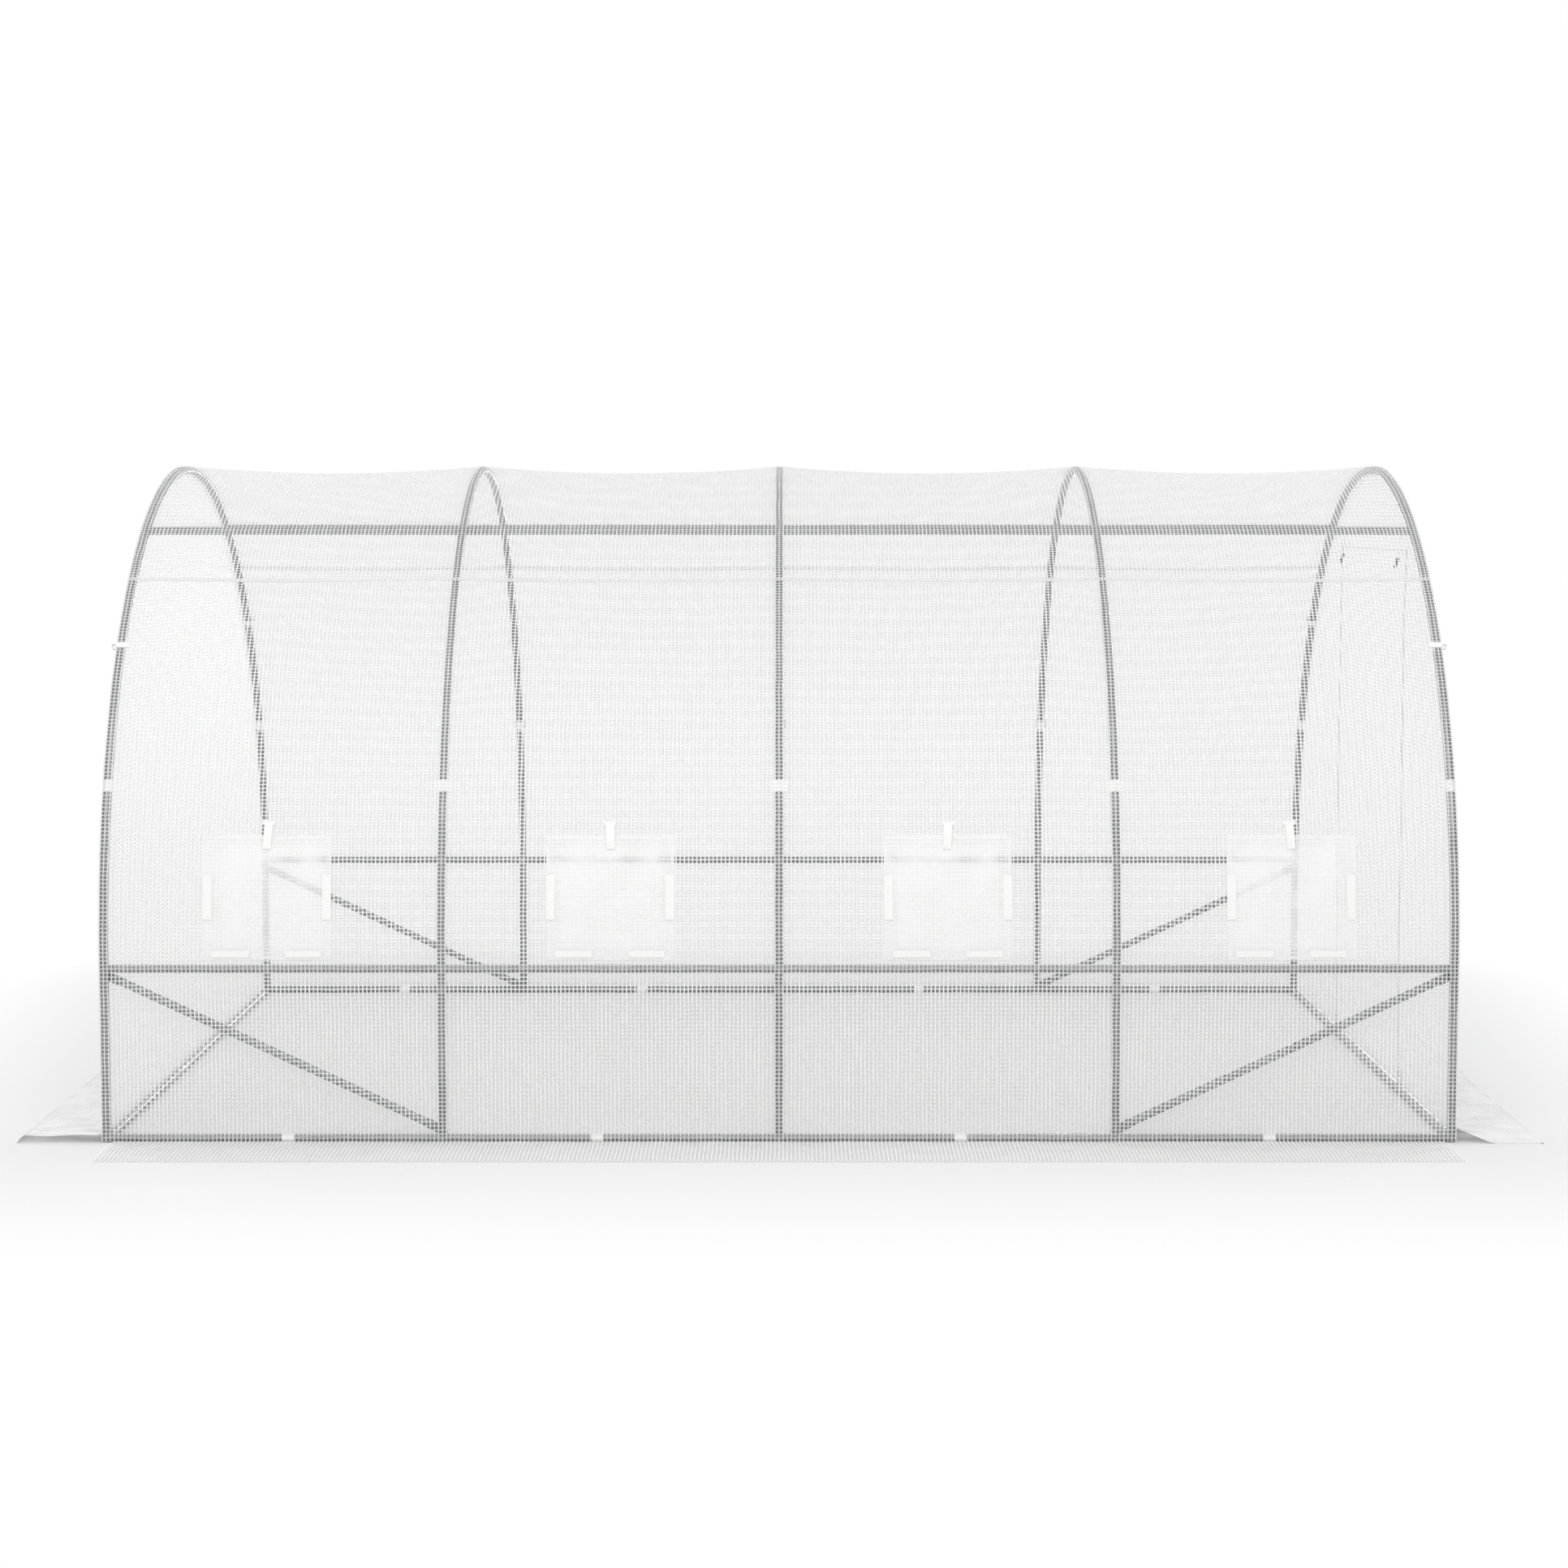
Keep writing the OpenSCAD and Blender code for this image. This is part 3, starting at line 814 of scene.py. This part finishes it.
def lay_skirt(name, film, place, along, out, hemmed_ends):
    """A skirt and its hem. place gives a point from a place along the wall and one out from it."""
    weave = shifted(*SKIRT_HEM_THREADS)

    def above(a, b):
        return place(a, b) + AXIS_Z * SKIRT_HEM_LIFT

    skirt, hem = Shape(), Shape()
    skirt.grid(along, out, place)
    hem.grid(along, [out[-1] - HEM, out[-1]], above, weave)
    if hemmed_ends:
        for low in (along[0], along[-1] - HEM):
            hem.grid([low, low + HEM], out, above, weave)
    skirt = skirt.piece(f"{name}_skirt_film", film, "cover_film", f"{name}_skirt")
    hem = hem.piece(f"{name}_skirt_hem", film, "cover_film")


def make_skirts():
    side_along = steps(-SIDE_SKIRT_X, SIDE_SKIRT_X, GRID)
    side_out = steps(SIDE_SKIRT_INNER, SIDE_SKIRT_Y, SIDE_SKIRT_GRID)
    for name, side in (("front", -1), ("back", 1)):
        lay_skirt(
            name, SKIRT_FILM, lambda x, y: side_skirt_point(side, x, y), side_along, side_out,
            hemmed_ends=False,
        )
    end_along = steps(-END_SKIRT_Y, END_SKIRT_Y, 2 * END_SKIRT_GRID)
    end_out = steps(END_SKIRT_INNER, END_SKIRT_X, END_SKIRT_GRID)
    for name, side in (("left", -1), ("right", 1)):
        lay_skirt(
            name, END_SKIRT_FILM, lambda y, x: end_skirt_point(side, y, x), end_along, end_out,
            hemmed_ends=True,
        )


# Straps

def strap(shape, centre, axis, outward, sideways, width, opening=0.0, tab=0.0):
    """A webbing loop round a tube, open by an angle on its outward side, with tabs sewn under the film."""
    ease, sway, turn_step = 0.0001, 0.0010, 0.16
    radius = TUBE_R + ease + WEBBING / 2
    points = []
    for turn in steps(opening, 2 * math.pi - opening, turn_step):
        reach = outward * math.cos(turn) + sideways * math.sin(turn)
        points.append(centre + reach * radius + axis * sway * math.sin(2 * turn + 0.7))
    shape.ribbon(points, axis, width, WEBBING)
    if not tab:
        return
    run = [(TUBE_R * 0.62, TUBE_R * 0.80), (TUBE_R + 0.001, TUBE_R - 0.0022), (TUBE_R + tab, TUBE_R - 0.0026)]
    for side in (-1, 1):
        points = [centre + sideways * side * aside + outward * out for aside, out in run]
        shape.ribbon(points, axis, width, WEBBING)


def knot(shape, centre, axis, outward, end):
    """The ends of an upper end strap, brought out through the cover and tied."""
    tail_w, tail_t, tail_drop = 0.012, 0.0012, 0.016
    band_w, band_t = 0.018, 0.0010
    corner = centre + outward * (TUBE_R + 0.004) + end * (TUBE_R + 0.0035)
    tail = []
    for share in steps(0.0, 1.0, 0.1):
        turn = share * math.pi * 1.5
        swing = end * 0.010 * math.sin(turn * 0.67) + outward * 0.003 * math.sin(turn)
        tail.append(corner + swing - axis * tail_drop * share)
    shape.ribbon(tail, outward, tail_w, tail_t)
    band = [centre + outward * (TUBE_R + 0.0035) - end * inboard for inboard in (-0.014, 0.0, 0.012, 0.024)]
    shape.ribbon(band, axis, band_w, band_t)


def make_hoop_straps(name, side):
    """The straps up the hoops on one side, with a second, tied pair on the two end hoops."""
    ends = (HOOPS[0], HOOPS[-1])
    places = [(x, STRAP_ANGLE, STRAP_W, STRAP_TAB) for x in HOOPS[1:-1]]
    places += [(x, STRAP_ANGLE, STRAP_W, 0.0) for x in ends]
    places += [(x, END_STRAP_ANGLE, END_STRAP_W, 0.0) for x in ends]
    shape = Shape()
    for x, angle, width, tab in places:
        outward = Vector((0, side * math.cos(angle), math.sin(angle)))
        axis = Vector((0, -side * math.sin(angle), math.cos(angle)))
        centre = Vector((x, 0, SPRING)) + outward * HOOP_R
        strap(shape, centre, axis, outward, AXIS_X, width, tab=tab)
        if angle == END_STRAP_ANGLE:
            knot(shape, centre, axis, outward, AXIS_X if x > 0 else -AXIS_X)
    shape.piece(f"{name}_hoop_loops", TAPE, "white_webbing", f"{name}_hoop_straps", smooth=False)


def make_base_straps(name, side):
    """The straps along the base rail on one side."""
    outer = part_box(f"{name}_base_straps")[1].x - STRAP_W / 2
    shape = Shape()
    for x in (outer, 2 * BAY - outer, outer - 2 * BAY, -outer):
        centre = Vector((x, side * HOOP_R, TUBE_R))
        strap(shape, centre, AXIS_X, -AXIS_Z, AXIS_Y * side, STRAP_W, opening=0.45)
    shape.piece(f"{name}_base_loops", TAPE, "white_webbing", f"{name}_base_straps", smooth=False)


def make_straps():
    for name, side in (("front", -1), ("back", 1)):
        make_hoop_straps(name, side)
        make_base_straps(name, side)


# Frame finish

TUBES = [f"hoop_{i + 1}" for i in range(BAYS + 1)] + [
    "front_base_rail", "back_base_rail", "left_base_rail", "right_base_rail",
    "front_side_rail", "back_side_rail", "front_purlin", "back_purlin",
    "front_left_brace", "front_right_brace", "back_left_brace", "back_right_brace",
]


def finish_tubes():
    for node in TUBES:
        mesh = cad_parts[node].data
        mesh.materials.clear()
        mesh.materials.append(STEEL)


def bolt(shape, base, axis):
    """A washer, a hexagon nut and the end of its bolt."""
    washer_r, washer_t = 0.0070, 0.0012
    nut_r, nut_face_r, nut_t, chamfer = 0.0056, 0.0050, 0.0050, 0.0004
    end_r, end_tip_r, end_l, end_taper = 0.0030, 0.0022, 0.0052, 0.0008
    shape.turned(base, axis, [(0, washer_r), (washer_t, washer_r)], 18)
    nut = [(0, nut_face_r), (chamfer, nut_r), (nut_t - chamfer, nut_r), (nut_t, nut_face_r)]
    shape.turned(base + axis * washer_t, axis, nut, 6)
    end = [(0, end_r), (end_l - end_taper, end_r), (end_l, end_tip_r)]
    shape.turned(base + axis * (washer_t + nut_t), axis, end, 12)


def make_bolts():
    """Bolts at the side rails, purlins, base rails and braces, with their nuts inside the tunnel."""
    brace_tip = 0.0043
    inside = HOOP_R - TUBE_R
    brace_inside = inside - brace_tip
    brace_low, brace_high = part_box("back_right_brace")
    bolts = Shape()
    for side in (-1, 1):
        inward = -AXIS_Y * side
        for x in HOOPS:
            for angle in (0.0, PURLIN):
                outward = Vector((0, side * math.cos(angle), math.sin(angle)))
                bolt(bolts, Vector((x, 0, SPRING)) + outward * inside, -outward)
            at_brace_foot = abs(abs(x) - BAY) < 0.01
            if not at_brace_foot:
                bolt(bolts, Vector((x, side * inside, TUBE_R)), inward)
        for end in (-1, 1):
            top = Vector((end * HALF_L, side * brace_inside, brace_high.z - TUBE_R))
            foot = Vector((end * (HALF_L - BAY), side * brace_inside, brace_low.z + TUBE_R))
            bolt(bolts, top, inward)
            bolt(bolts, foot, inward)
    bolts.piece("frame_bolts", ZINC, "galvanised_steel", smooth=False)


# Studio

def make_floor():
    """A pale floor that keeps the tunnel's shadow and turns to plain white further out."""
    tone, reach = 0.83, 60.0
    mat, graph = material("studio_floor")
    axes = graph.add("ShaderNodeSeparateXYZ")
    graph.put(graph.add("ShaderNodeNewGeometry").outputs["Position"], axes.inputs[0])
    beyond = []
    for axis, half, fade in (("X", HALF_L, 1.1), ("Y", HALF_W, 1.5)):
        past = graph.math("SUBTRACT", graph.math("ABSOLUTE", axes.outputs[axis]), half)
        past = graph.math("DIVIDE", graph.math("MAXIMUM", past, 0.0), fade)
        beyond.append(graph.math("MULTIPLY", past, past))
    distance = graph.math("SQRT", graph.math("ADD", *beyond))
    white_share = graph.math("MULTIPLY", graph.math("MINIMUM", distance, 1.0), graph.seen())
    matt = graph.add("ShaderNodeBsdfDiffuse")
    matt.inputs["Color"].default_value = (tone, tone, tone, 1)
    graph.finish(graph.mix(white_share, matt, graph.add("ShaderNodeEmission")))

    corners = [(-reach, -reach, 0), (reach, -reach, 0), (reach, reach, 0), (-reach, reach, 0)]
    mesh = bpy.data.meshes.new("floor")
    mesh.from_pydata(corners, [], [(0, 1, 2, 3)])
    mesh.materials.append(mat)
    floor = bpy.data.objects.new("floor", mesh)
    bpy.context.scene.collection.objects.link(floor)


def make_world():
    """A white backdrop, with softer light from it on the tunnel."""
    world = bpy.data.worlds.new("studio")
    bpy.context.scene.world = world
    world.use_nodes = True
    graph = Graph(world.node_tree)
    soft, white = graph.add("ShaderNodeBackground"), graph.add("ShaderNodeBackground")
    for shader, strength in ((soft, 0.55), (white, 1.0)):
        shader.inputs["Color"].default_value = (1, 1, 1, 1)
        shader.inputs["Strength"].default_value = strength
    graph.finish(graph.mix(graph.seen(), soft, white), "ShaderNodeOutputWorld")


def area_lamp(name, place, target, size, energy):
    lamp = bpy.data.lights.new(name, "AREA")
    lamp.shape = "RECTANGLE"
    lamp.size, lamp.size_y = size
    lamp.energy = energy
    obj = bpy.data.objects.new(name, lamp)
    obj.location = place
    obj.rotation_euler = (Vector(target) - Vector(place)).to_track_quat("-Z", "Y").to_euler()
    obj.visible_camera = False
    bpy.context.scene.collection.objects.link(obj)


def make_lamps():
    """A wide key from the front, fills on the end skirts, and low glints from behind along the end rails."""
    area_lamp("key", place=(-0.5, -8.0, 7.0), target=(0, 0, 0.8), size=(8.0, 5.0), energy=396.0)
    fill = (3.0, 3.0)
    for name, side in (("left", -1), ("right", 1)):
        front, back = (2.1 * side, -0.6, 0.0), (2.1 * side, -0.3, 0.0)
        area_lamp(f"{name}_fill", place=(5.0 * side, -1.0, 6.0), target=front, size=fill, energy=42.0)
        area_lamp(f"{name}_back_fill", place=(6.0 * side, 2.5, 4.5), target=back, size=fill, energy=62.0)
    left, right = (-HALF_L, 0, 1.0), (HALF_L, 0, 1.0)
    area_lamp("left_glint", place=(2.8, 20.0, 1.0), target=left, size=(1.5, 0.9), energy=265.0)
    area_lamp("right_glint", place=(7.0, 20.0, 1.0), target=right, size=(1.6, 1.3), energy=235.0)


def make_camera():
    """The photo's camera, solved from the hoops."""
    data = bpy.data.cameras.new("camera")
    data.sensor_width = 36.0
    data.lens = 73.91
    camera = bpy.data.objects.new("camera", data)
    camera.location = (0.0148, -10.9491, 1.8708)
    camera.rotation_euler = (math.radians(85.154), 0, 0)
    bpy.context.scene.collection.objects.link(camera)
    bpy.context.scene.camera = camera
    bpy.context.scene.view_settings.view_transform = "Standard"


make_cover()
make_windows()
make_ends()
make_skirts()
make_straps()
finish_tubes()
make_bolts()
make_floor()
make_world()
make_lamps()
make_camera()
